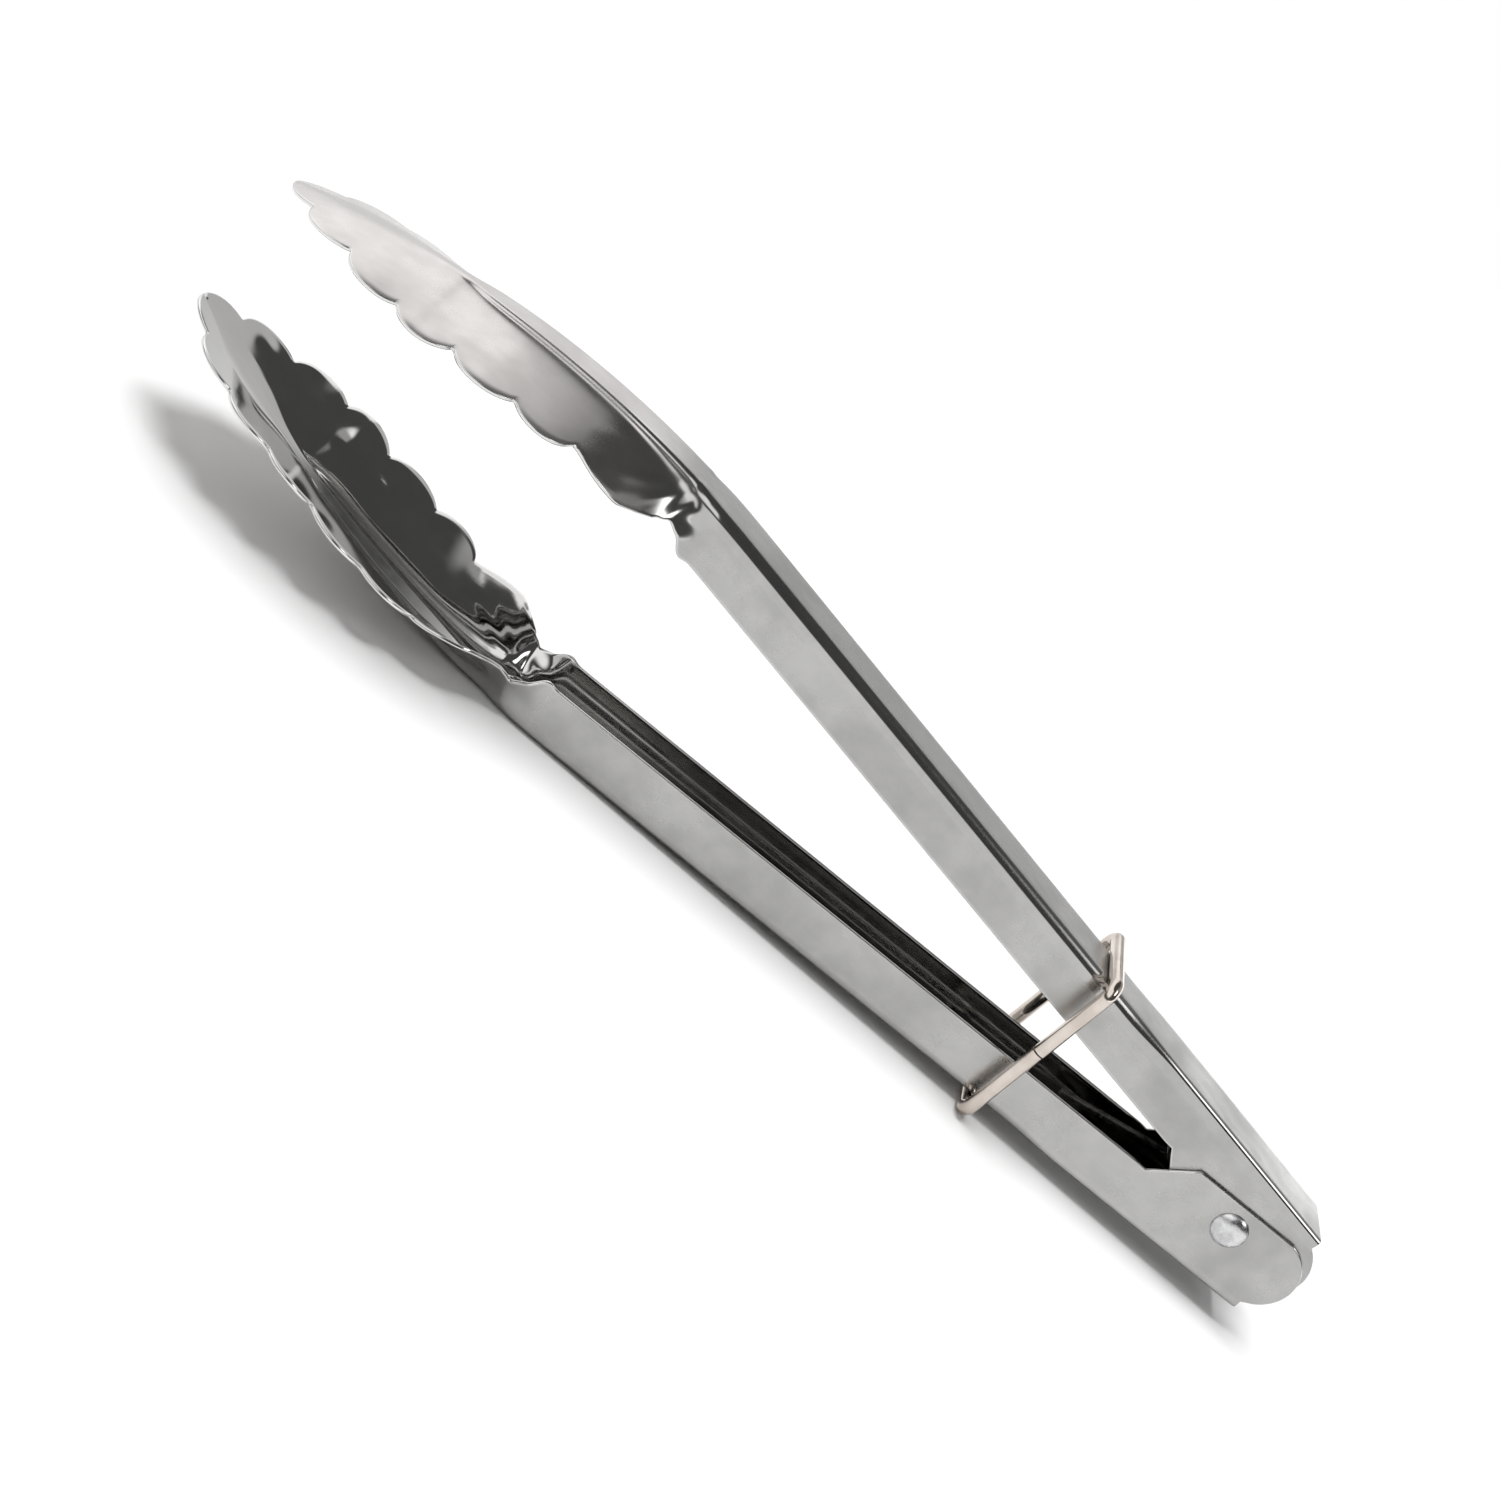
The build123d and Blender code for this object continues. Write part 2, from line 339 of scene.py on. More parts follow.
def armRows(width):
    # one half of the outside surface, row by row from the pivot end to the tip
    channel = [(s, width / 2 - inset, *rest) for s, inset, *rest in channelSections]
    table = np.array([*channel, *bladeSections])
    onFloor, onBend, onWing = lineShares()
    rows = []
    for s in np.concatenate([np.linspace(*span) for span in armGrid["handleRows"]]):
        across, height = sectionPoints(table, np.full(len(onWing), s), onFloor, onBend, onWing)
        if s <= arm["earRamp"][1]:
            foot = height[onWing == 0][-1]
            height = np.where(onWing > 0, foot + (cheekTop(s) - arm["rimRound"] - foot) * onWing, height)
        rows.append(armPlace(np.full(len(onWing), s), across, height))
    # the pivot end: lines run back to the spine's end, and on the cheek to the ear's round end
    first = rows[0]
    ends = np.array([earEnd(height + arm["spineDrop"]) for height in first[:, 2]]) + arm["rimRound"]
    backRows = []
    for k in range(armGrid["endRows"], 0, -1):
        row = first.copy()
        row[:, 0] += (ends - first[:, 0]) * math.sin(math.pi / 2 * k / armGrid["endRows"])
        backRows.append(row)
    rows = backRows + rows
    # the blade: rows are even along the middle and end at the points of the scalloped rim
    rim, tipCentre, tipRadius = bladeOutline()
    dense = np.linspace(0, 1, armGrid["probes"])
    ones = np.ones(len(dense))
    for middlePlace, rimPlace, halfWidth in rim:
        s = rimPlace
        for again in range(armGrid["rimRounds"]):
            across, height = sectionPoints(table, s * ones, ones, ones, dense)
            reach = float(np.interp(halfWidth, across, dense))
            s = rimPlace + float(np.interp(reach, dense, height)) * math.sin(turnAt(s))
        target = middlePlace + (rimPlace - middlePlace) * onWing ** armGrid["rowLean"]
        places = target.copy()
        for again in range(armGrid["rowRounds"]):
            across, height = sectionPoints(table, places, onFloor, onBend, onWing * reach)
            places = target + height * np.sin(turnAt(places))
        rows.append(armPlace(places, across, height))
    # the last row follows the round of the tip
    last = rows[-1].copy()
    last[:, 1] *= arm["tipNarrow"]
    ahead = tipCentre + np.sqrt(tipRadius ** 2 - last[:, 1] ** 2) - last[:, 0]
    last[:, 0] += ahead
    last[:, 2] += ahead * math.tan(turnAt(arm["tip"]))
    rows.append(last)
    return np.array(rows)


def rollAt(s, across, size, seed):
    return noise.noise(Vector((s / size[0], across / size[1], seed)))


def waveAt(s, across, share, seed, dents):
    # how far the pressed sheet stands out at a point; share runs from the bend to the rim
    waves = sheetWaves
    fromMiddle = abs(across)
    onBlade = float(rampUp(s, *waves["bladeFrom"]))
    wave = rollAt(s, across, waves["rollSize"], seed) * waves["roll"] * (1 - onBlade)
    bladeRoll = rollAt(s, across, waves["bladeRollSize"], seed + waves["bladeRollSeed"])
    wave += bladeRoll * waves["bladeRoll"] * onBlade * share
    starts = [place for place, half in arm["notches"]] + [2 * arm["tip"] - arm["notches"][-1][0]]
    for a, b in zip(starts, starts[1:]):
        if a <= s < b:
            wave -= waves["lobeCup"] * math.cos(2 * math.pi * (s - a) / (b - a)) * share ** 3
    inFirst = float(rampUp(s, *waves["fanFrom"]) * (1 - rampUp(s, *waves["fanTo"])))
    fan = math.atan2(fromMiddle - waves["fanCentre"][1], s - waves["fanCentre"][0])
    wave += waves["fan"] * inFirst * share * math.sin(fan * waves["fanRipples"])
    place, side = waves["neckDentAt"]
    length, breadth = waves["neckDentSize"]
    wave -= waves["neckDent"] * math.exp(-((s - place) / length) ** 2 - ((fromMiddle - side) / breadth) ** 2)
    place, side = waves["foldAt"]
    fold = (s - place - waves["foldSlant"] * (fromMiddle - side)) / waves["foldWidth"]
    wave += waves["neckFold"] * math.exp(-fold * fold) * float(rampUp(fromMiddle, *waves["foldFrom"]))
    for place, side, length, breadth, depth in dents:
        wave -= depth * math.exp(-((s - place) / length) ** 2 - ((across - side) / breadth) ** 2)
    return wave


def armMesh(name, width, angle, facing, seed, dents):
    half = armRows(width)
    mirrored = half[:, :0:-1] * np.array([1, -1, 1])
    grid = np.concatenate([mirrored, half], axis=1)
    rowCount, lineCount = grid.shape[:2]
    middleLine = lineCount // 2
    straightRow = armGrid["straightRow"]
    along = Vector((-math.cos(angle), 0, math.sin(angle)))
    across = Vector((0, facing, 0))
    inwards = across.cross(along)
    outer = np.array(pivot) + mm * grid @ np.array([along, across, inwards])
    acrossValue = np.cumsum(np.linalg.norm(np.diff(grid, axis=1, prepend=grid[:, :1]), axis=2), axis=1)
    acrossValue = acrossValue - acrossValue[:, middleLine][:, None]
    # outward normals from the grid, the sheet's unevenness, then the inside face one sheet further in
    normal = np.cross(np.gradient(outer, axis=1), np.gradient(outer, axis=0))
    normal /= np.linalg.norm(normal, axis=2, keepdims=True)
    tipRows = armGrid["tipRows"]
    normal[-tipRows:] = normal[-tipRows - 1]
    if normal[straightRow, middleLine] @ np.array(inwards) > 0:
        normal = -normal
    pastBend = np.abs(np.arange(lineCount) - middleLine) - armGrid["floorLines"] - armGrid["bendLines"]
    lineShare = np.clip(pastBend / armGrid["wingLines"], 0, 1)
    wave = np.array([[waveAt(grid[r, c, 0], acrossValue[r, c], lineShare[c], seed, dents)
                      for c in range(lineCount)] for r in range(rowCount)])
    wave *= rampUp(grid[..., 0], *sheetWaves["from"])
    outer = outer + normal * wave[..., None] * mm
    inner = outer - normal * arm["sheet"] * mm
    index = np.arange(rowCount * lineCount).reshape(rowCount, lineCount)
    loop = [*index[0, :-1], *index[:-1, -1], *index[-1, :0:-1], *index[:0:-1, 0]]
    flatOuter = outer.reshape(-1, 3)
    flatInner = inner.reshape(-1, 3)
    flatNormal = normal.reshape(-1, 3)
    total = len(flatOuter)
    quads = index[:-1, :-1], index[1:, :-1], index[1:, 1:], index[:-1, 1:]
    faces = np.stack([q.reshape(-1) for q in quads], 1)
    side = flatOuter[faces[:, 1]] - flatOuter[faces[:, 0]]
    other = flatOuter[faces[:, 3]] - flatOuter[faces[:, 0]]
    if (np.einsum("ij,ij->i", np.cross(side, other), flatNormal[faces[:, 0]]) < 0).mean() > 0.5:
        faces = faces[:, ::-1]
    # rounded edge all the way round the sheet
    rim = flatOuter[loop]
    outward = np.cross(np.roll(rim, -1, axis=0) - np.roll(rim, 1, axis=0), flatNormal[loop])
    outward /= np.linalg.norm(outward, axis=1, keepdims=True)
    middle = (rim + flatInner[loop]) / 2
    rimSide = index[straightRow, -1]
    if outward[loop.index(rimSide)] @ (flatOuter[rimSide] - flatOuter[index[straightRow, -2]]) < 0:
        outward = -outward
    rimLines = armGrid["rimLines"]
    points = [flatOuter, flatInner]
    rings = [np.array(loop)]
    for k in range(rimLines):
        turn = math.pi * (k + 1) / (rimLines + 1)
        lift = (rim - middle) * math.cos(turn) + outward * arm["rimRound"] * mm * math.sin(turn) ** 0.5
        rings.append(np.arange(len(loop)) + total * 2 + k * len(loop))
        points.append(middle + lift)
    rings.append(np.array(loop) + total)
    strips = [np.stack([a, np.roll(a, -1), np.roll(b, -1), b], 1) for a, b in zip(rings, rings[1:])]
    strips = np.concatenate(strips)
    points = np.concatenate(points)
    # the strips turn the same way as the outside face they start from
    edge = (int(strips[0][0]), int(strips[0][1]))
    for face in faces[(faces == edge[0]).any(1) & (faces == edge[1]).any(1)]:
        order = list(face)
        if order[(order.index(edge[0]) + 1) % 4] == edge[1]:
            strips = strips[:, ::-1]
    allFaces = np.concatenate([faces, faces[:, ::-1] + total, strips])
    mesh = smoothMesh(name, points.tolist(), allFaces.tolist())
    rimCount = len(points) - 2 * total

    def onSheet(attribute, values):
        values = values.reshape(-1)
        onRim = np.tile(values[loop], rimLines)
        pointAttribute(mesh, attribute, np.concatenate([values, values, onRim]))

    pointAttribute(mesh, "insideFace", [0] * total + [1] * total + [0.5] * rimCount)
    pointAttribute(mesh, "rimEdge", [0] * (2 * total) + [1] * rimCount)
    onSheet("alongArm", grid[..., 0])
    onSheet("acrossArm", acrossValue)
    onRib = rampUp(grid[..., 0], *arm["ribFrom"]) * (1 - rampUp(grid[..., 0], *arm["ribTo"]))
    lowLine, highLine = armGrid["ribLines"]
    onSheet("ribWall", onRib * ((pastBend > lowLine) & (pastBend < highLine)))
    onSheet("rimDistance", acrossValue[:, -1][:, None] - np.abs(acrossValue))
    print(name, "rows", rowCount, "lines", lineCount, "faces", len(mesh.polygons))
    return mesh


# Shared finishes as node groups: each puts out a mask or a height

def makeGroup(name, values, result):
    tree = bpy.data.node_groups.new(name, "ShaderNodeTree")
    tree.interface.new_socket("Place", in_out="INPUT", socket_type="NodeSocketVector")
    for label in values:
        tree.interface.new_socket(label, in_out="INPUT", socket_type="NodeSocketFloat")
    tree.interface.new_socket(result, in_out="OUTPUT", socket_type="NodeSocketFloat")
    given = tree.nodes.new("NodeGroupInput").outputs
    return tree, given, tree.nodes.new("NodeGroupOutput").inputs[result]


def drawnNoise(tree, place, given, look):
    # noise drawn out along X
    scales = [addMath(tree, "DIVIDE", 1.0, given[label]) for label in ("Length", "Width")]
    stretch = addNode(tree, "ShaderNodeCombineXYZ", {"X": scales[0], "Y": scales[1], "Z": 1.0})
    drawn = addNode(tree, "ShaderNodeVectorMath", {0: place, 1: stretch.outputs[0]}, operation="MULTIPLY")
    lines = addNode(tree, "ShaderNodeTexNoise", {"Vector": drawn.outputs[0], "Scale": 1.0, **look})
    return lines.outputs["Fac"]


noiseLooks = {
    "clouds": {"Detail": 3.0, "Roughness": 0.55},
    "grain": {"Detail": 3.0, "Roughness": 0.6},
    "scratches": {"Detail": 1.0, "Roughness": 0.4},
    "scratchEdge": 0.06,
}


def makeClouds():
    # soft patches of handling marks and uneven rolling
    tree, given, end = makeGroup("smudgeClouds", ("Size", "Softness"), "Cloud")
    scale = addMath(tree, "DIVIDE", 1.0, given["Size"])
    look = {"Vector": given["Place"], "Scale": scale, **noiseLooks["clouds"]}
    patches = addNode(tree, "ShaderNodeTexNoise", look).outputs["Fac"]
    low = addMath(tree, "SUBTRACT", 0.5, given["Softness"])
    high = addMath(tree, "ADD", 0.5, given["Softness"])
    tree.links.new(addRange(tree, patches, low, high), end)
    return tree


def makeGrain():
    # fine lines left by rolling and polishing, stretched along the metal
    tree, given, end = makeGroup("rolledGrain", ("Length", "Width"), "Grain")
    tree.links.new(drawnNoise(tree, given["Place"], given, noiseLooks["grain"]), end)
    return tree


def makeScratches():
    # sparse hairline scratches in one direction
    tree, given, end = makeGroup("hairScratches", ("Turn", "Length", "Width", "Amount"), "Scratch")
    turned = addNode(tree, "ShaderNodeVectorRotate", {"Vector": given["Place"], "Angle": given["Turn"]},
                     rotation_type="Z_AXIS").outputs[0]
    lines = drawnNoise(tree, turned, given, noiseLooks["scratches"])
    high = addMath(tree, "ADD", given["Amount"], noiseLooks["scratchEdge"])
    tree.links.new(addRange(tree, lines, given["Amount"], high), end)
    return tree


smudgeClouds = makeClouds()
rolledGrain = makeGrain()
hairScratches = makeScratches()
print("node groups", [tree.name for tree in (smudgeClouds, rolledGrain, hairScratches)])


def placeGroup(tree, group, place, values):
    return addNode(tree, "ShaderNodeGroup", {"Place": place, **values}, node_tree=group).outputs[0]


def startMaterial(name):
    material = bpy.data.materials.new(name)
    material.use_nodes = True
    tree = material.node_tree
    shader = tree.nodes["Principled BSDF"]
    return material, tree, shader


def readAttribute(tree, name):
    return addNode(tree, "ShaderNodeAttribute", attribute_name=name).outputs["Fac"]


def inMillimetres(tree):
    objectPlace = addNode(tree, "ShaderNodeTexCoord").outputs["Object"]
    scaled = addNode(tree, "ShaderNodeVectorMath", {0: objectPlace, "Scale": 1 / mm}, operation="SCALE")
    return scaled.outputs[0]


def joinMetal(tree, shader, colour, rough, height, distance, strength):
    bump = addNode(tree, "ShaderNodeBump", {"Height": height, "Distance": distance, "Strength": strength})
    for label, value in (("Base Color", colour), ("Roughness", rough), ("Normal", bump.outputs["Normal"])):
        tree.links.new(value, shader.inputs[label])
    shader.inputs["Metallic"].default_value = 1


armFinish = {
    "satin": ((0.36, 0.358, 0.35), (0.475, 0.472, 0.462)),        # outside, dull and clean patches
    "bladeSatin": ((0.52, 0.50, 0.491), (0.64, 0.617, 0.606)),
    "bladeFrom": (190.0, 206.0),
    "bright": ((0.50, 0.495, 0.485), (0.56, 0.555, 0.545)),       # inside, still mirror-like
    "cutEdge": (0.72, 0.715, 0.705),
    "wornLine": 0.5,                   # width beside the cut edge
    "wornShare": 0.5,
    "insideLayer": 60.0,               # so that the two faces have their own marks
    "wide": {"Size": 22.0, "Softness": 0.14},
    "small": {"Size": 5.0, "Softness": 0.2},
    "speckle": {"Size": 0.9, "Softness": 0.25},
    "grain": {"Length": 26.0, "Width": 0.4},
    "hairs": {"Turn": 0.25, "Length": 18.0, "Width": 0.34, "Amount": 0.7},
    "crossHairs": {"Turn": -0.9, "Length": 14.0, "Width": 0.3, "Amount": 0.72},
    "patchShares": (0.5, 0.3, 0.1, 0.2),    # wide, small, speckle, grain
    "satinRough": (0.24, 0.34),
    "speckleRough": 0.03,
    "hairRough": 0.04,
    "pressedRough": 0.17,              # rubbed bright by the press at the neck
    "pressedFrom": (182.0, 187.0),
    "pressedTo": (207.0, 214.0),
    "bendRough": 0.12,                 # the bend beside the spine is rubbed too
    "bendFrom": (5.4, 8.4),
    "bendTo": (10.2, 11.2),
    "bendEnd": (186.0, 192.0),
    "brightRough": (0.045, 0.085),
    "scuffedRough": 0.2,               # the walls of the rib, seen from the inside
    "hairDepth": -0.15,
    "insideGrain": 0.04,
    "grainHeight": 0.0000012,
    "bump": 0.6,
}


def makeArmFinish(name, seed):
    look = armFinish
    material, tree, shader = startMaterial(name)
    along = readAttribute(tree, "alongArm")
    across = readAttribute(tree, "acrossArm")
    inside = readAttribute(tree, "insideFace")
    layer = addNode(tree, "ShaderNodeMath", {0: inside, 1: look["insideLayer"], 2: seed},
                    operation="MULTIPLY_ADD").outputs[0]
    place = addNode(tree, "ShaderNodeCombineXYZ", {"X": along, "Y": across, "Z": layer}).outputs[0]
    wide = placeGroup(tree, smudgeClouds, place, look["wide"])
    small = placeGroup(tree, smudgeClouds, place, look["small"])
    speckle = placeGroup(tree, smudgeClouds, place, look["speckle"])
    grain = placeGroup(tree, rolledGrain, place, look["grain"])
    hairs = placeGroup(tree, hairScratches, place, look["hairs"])
    crossHairs = placeGroup(tree, hairScratches, place, look["crossHairs"])
    patches = addShares(tree, *zip((wide, small, speckle, grain), look["patchShares"]))
    patches = addNode(tree, "ShaderNodeClamp", {"Value": patches}).outputs[0]
    satin = addTint(tree, patches, *look["satin"])
    bladeSatin = addTint(tree, patches, *look["bladeSatin"])
    outside = addTint(tree, addRange(tree, along, *look["bladeFrom"]), satin, bladeSatin)
    bright = addTint(tree, patches, *look["bright"])
    colour = addTint(tree, inside, outside, bright)
    # the sheared edge is brighter, with a thin worn line beside it
    rimDistance = readAttribute(tree, "rimDistance")
    worn = addRange(tree, rimDistance, 0.0, look["wornLine"], look["wornShare"], 0.0)
    worn = addMath(tree, "MAXIMUM", worn, readAttribute(tree, "rimEdge"))
    colour = addTint(tree, worn, colour, look["cutEdge"])
    # satin outside, smoother where the press rubbed it; bright inside, scuffed in the rib
    clean, dull = look["satinRough"]
    rough = addBlend(tree, wide, dull, clean)
    rough = addMath(tree, "ADD", rough, addMath(tree, "MULTIPLY", speckle, look["speckleRough"]))
    pressed = addProduct(tree, addRange(tree, along, *look["pressedFrom"]),
                         addFade(tree, along, *look["pressedTo"]))
    rough = addBlend(tree, pressed, rough, look["pressedRough"])
    fromMiddle = addMath(tree, "ABSOLUTE", across)
    bend = addProduct(tree, addRange(tree, fromMiddle, *look["bendFrom"]),
                      addFade(tree, fromMiddle, *look["bendTo"]), addFade(tree, along, *look["bendEnd"]))
    rough = addBlend(tree, bend, rough, look["bendRough"])
    smooth = addBlend(tree, small, *look["brightRough"])
    scuffed = addBlend(tree, readAttribute(tree, "ribWall"), smooth, look["scuffedRough"])
    rough = addBlend(tree, inside, rough, scuffed)
    rough = addMath(tree, "ADD", rough, addMath(tree, "MULTIPLY", hairs, look["hairRough"]))
    height = addShares(tree, (grain, 1.0), (hairs, look["hairDepth"]), (crossHairs, look["hairDepth"]))
    height = addProduct(tree, height, addBlend(tree, inside, 1.0, look["insideGrain"]))
    joinMetal(tree, shader, colour, rough, height, look["grainHeight"], look["bump"])
    return material


# width, angle of the arm, which way across points, seeds of the unevenness and of the marks
lowerMesh = armMesh("lowerArmSheet", arm["lowerWidth"], -lean, 1, 3.0, lowerDents)
upperAngle = math.radians(arm["opening"]) - lean
upperMesh = armMesh("upperArmSheet", arm["upperWidth"], upperAngle, -1, 40.0, upperDents)
lowerSteel = makeArmFinish("lowerArmSteel", 11.0)
newPiece("lowerArmSheet", lowerMesh, lowerSteel, "lower_arm", "lower_arm")
upperSteel = makeArmFinish("upperArmSteel", 83.0)
newPiece("upperArmSheet", upperMesh, upperSteel, "upper_arm", "upper_arm")


# Wire: one node tree sweeps a round wire along a path and rounds its bends

def makeWireTree():
    tree = bpy.data.node_groups.new("wireSweep", "GeometryNodeTree")
    kinds = {"Path": "Geometry", "Wire Radius": "Float", "Bend Radius": "Float", "Bend Steps": "Int",
             "Wire Sides": "Int", "Finish": "Material"}
    for label, kind in kinds.items():
        tree.interface.new_socket(label, in_out="INPUT", socket_type="NodeSocket" + kind)
    tree.interface.new_socket("Wire", in_out="OUTPUT", socket_type="NodeSocketGeometry")
    given = tree.nodes.new("NodeGroupInput").outputs
    path = addNode(tree, "GeometryNodeMeshToCurve", {"Mesh": given["Path"]}).outputs[0]
    bends = {"Curve": path, "Count": given["Bend Steps"], "Radius": given["Bend Radius"],
             "Limit Radius": True}
    bent = addNode(tree, "GeometryNodeFilletCurve", bends, mode="POLY").outputs[0]
    lengthSoFar = tree.nodes.new("GeometryNodeSplineParameter").outputs["Length"]
    lengthMark = {"Geometry": bent, "Name": "alongWire", "Value": lengthSoFar}
    marked = addNode(tree, "GeometryNodeStoreNamedAttribute", lengthMark, data_type="FLOAT").outputs[0]
    sizes = {"Resolution": given["Wire Sides"], "Radius": given["Wire Radius"]}
    circle = addNode(tree, "GeometryNodeCurvePrimitiveCircle", sizes).outputs["Curve"]
    cornerNumber = tree.nodes.new("GeometryNodeInputIndex").outputs[0]
    roundMark = {"Geometry": circle, "Name": "aroundWire", "Value": cornerNumber}
    profile = addNode(tree, "GeometryNodeStoreNamedAttribute", roundMark, data_type="FLOAT").outputs[0]
    curves = {"Curve": marked, "Profile Curve": profile, "Fill Caps": True}
    swept = addNode(tree, "GeometryNodeCurveToMesh", curves).outputs[0]
    smooth = addNode(tree, "GeometryNodeSetShadeSmooth", {"Geometry": swept}).outputs[0]
    real = addNode(tree, "GeometryNodeRealizeInstances", {"Geometry": smooth}).outputs[0]
    dressed = addNode(tree, "GeometryNodeSetMaterial", {"Geometry": real, "Material": given["Finish"]})
    tree.links.new(dressed.outputs[0], tree.nodes.new("NodeGroupOutput").inputs["Wire"])
    return tree


wireSweep = makeWireTree()


def sweptWire(name, points, material, sizes):
    mesh = bpy.data.meshes.new(name + "Path")
    mesh.from_pydata([tuple(p) for p in points], [(k, k + 1) for k in range(len(points) - 1)], [])
    carrier = bpy.data.objects.new(name + "Path", mesh)
    bpy.context.scene.collection.objects.link(carrier)
    modifier = carrier.modifiers.new("wireSweep", "NODES")
    modifier.node_group = wireSweep
    inputs = [item for item in wireSweep.interface.items_tree if item.in_out == "INPUT"]
    sockets = {item.name: item.identifier for item in inputs}
    for label, value in {**sizes, "Finish": material}.items():
        modifier[sockets[label]] = value
    depsgraph = bpy.context.evaluated_depsgraph_get()
    swept = bpy.data.meshes.new_from_object(carrier.evaluated_get(depsgraph), preserve_all_data_layers=True,
                                            depsgraph=depsgraph)
    carrier.modifiers.remove(modifier)
    bpy.data.objects.remove(carrier)
    swept.name = name
    for polygon in swept.polygons:
        polygon.use_smooth = len(polygon.vertices) <= 4      # the cut ends of the wire stay flat
    print(name, "wire faces", len(swept.polygons))
    return swept


wireMarks = {
    "grain": {"Length": 14.0, "Width": 1.2},
    "hairs": {"Turn": 0.02, "Length": 5.0, "Width": 0.5, "Amount": 0.62},
    "cloudSoftness": 0.18,
    "cloudShare": 0.65,
    "grainShare": 0.35,
    "hairRough": 0.06,
    "bump": 0.5,
}


def makeWireFinish(name, finish):
    material, tree, shader = startMaterial(name)
    along = addMath(tree, "MULTIPLY", readAttribute(tree, "alongWire"), 1 / mm)
    around = readAttribute(tree, "aroundWire")
    place = addNode(tree, "ShaderNodeCombineXYZ", {"X": along, "Y": around, "Z": finish["seed"]}).outputs[0]
    grain = placeGroup(tree, rolledGrain, place, wireMarks["grain"])
    hairs = placeGroup(tree, hairScratches, place, wireMarks["hairs"])
    cloud = {"Size": finish["cloudSize"], "Softness": wireMarks["cloudSoftness"]}
    clouds = placeGroup(tree, smudgeClouds, inMillimetres(tree), cloud)
    mixed = addShares(tree, (clouds, wireMarks["cloudShare"]), (grain, wireMarks["grainShare"]))
    colour = addTint(tree, mixed, *finish["colours"])
    rough = addBlend(tree, clouds, *finish["roughness"])
    rough = addMath(tree, "ADD", rough, addMath(tree, "MULTIPLY", hairs, wireMarks["hairRough"]))
    height = addMath(tree, "SUBTRACT", grain, hairs)
    joinMetal(tree, shader, colour, rough, height, finish["grainHeight"], wireMarks["bump"])
    return material


ring = {
    "wire": 3.2,
    "place": 58.0,                     # from the rivet along the middle line
    "sideGap": 2.9,
    "spineGap": 0.12,
    "bendRadius": 3.1,                 # at the middle of the wire
    "bendSteps": 12,
    "sides": 40,
    "seamGap": 0.5,
    "seamStep": 0.3,                   # the two ends don't quite line up
    "seamAt": 0.2,                     # above the middle of the near side
}
nickel = {
    "colours": ((0.52, 0.455, 0.405), (0.71, 0.65, 0.595)),
    "roughness": (0.05, 0.12),
    "cloudSize": 6.0,
    "grainHeight": 0.000006,
    "seed": 5.0,
}


def ringPath():
    halfOpening = math.radians(arm["opening"] / 2)
    heading = halfOpening - lean
    ahead = Vector((-math.cos(heading), 0, math.sin(heading)))
    up = Vector((math.sin(heading), 0, math.cos(heading)))
    centre = pivot + ahead * ring["place"] * mm
    reach = arm["spineDrop"] / math.cos(halfOpening) + ring["place"] * math.tan(halfOpening)
    tall = reach + ring["spineGap"] + ring["wire"] / 2
    wide = arm["lowerWidth"] / 2 + ring["sideGap"] + ring["wire"] / 2
    half = ring["seamGap"] / 2
    step = ring["seamStep"] / 2
    start = (-wide - step, ring["seamAt"] + half)
    end = (-wide + step, ring["seamAt"] - half)
    outline = [start, (-wide, tall), (wide, tall), (wide, -tall), (-wide, -tall), end]
    return [centre + Vector((0, across, 0)) * mm + up * height * mm for across, height in outline]


ringSizes = {"Wire Radius": ring["wire"] / 2 * mm, "Bend Radius": ring["bendRadius"] * mm,
             "Bend Steps": ring["bendSteps"], "Wire Sides": ring["sides"]}
ringFinish = makeWireFinish("ringNickel", nickel)
ringMesh = sweptWire("lockRingWire", ringPath(), ringFinish, ringSizes)
newPiece("lockRingWire", ringMesh, ringFinish, "lock_ring", "lock_ring")

spring = {
    "wire": 1.5,
    "coilRadius": 5.0,
    "pitch": 2.3,
    "fullTurns": 2,
    "legReach": 38.0,
    "legGap": 0.15,
    "stepsInTurn": 40,
    "sides": 18,
}
drawnSteel = {
    "colours": ((0.34, 0.335, 0.33), (0.47, 0.465, 0.455)),
    "roughness": (0.2, 0.34),
    "cloudSize": 3.0,
    "grainHeight": 0.000008,
    "seed": 19.0,
}


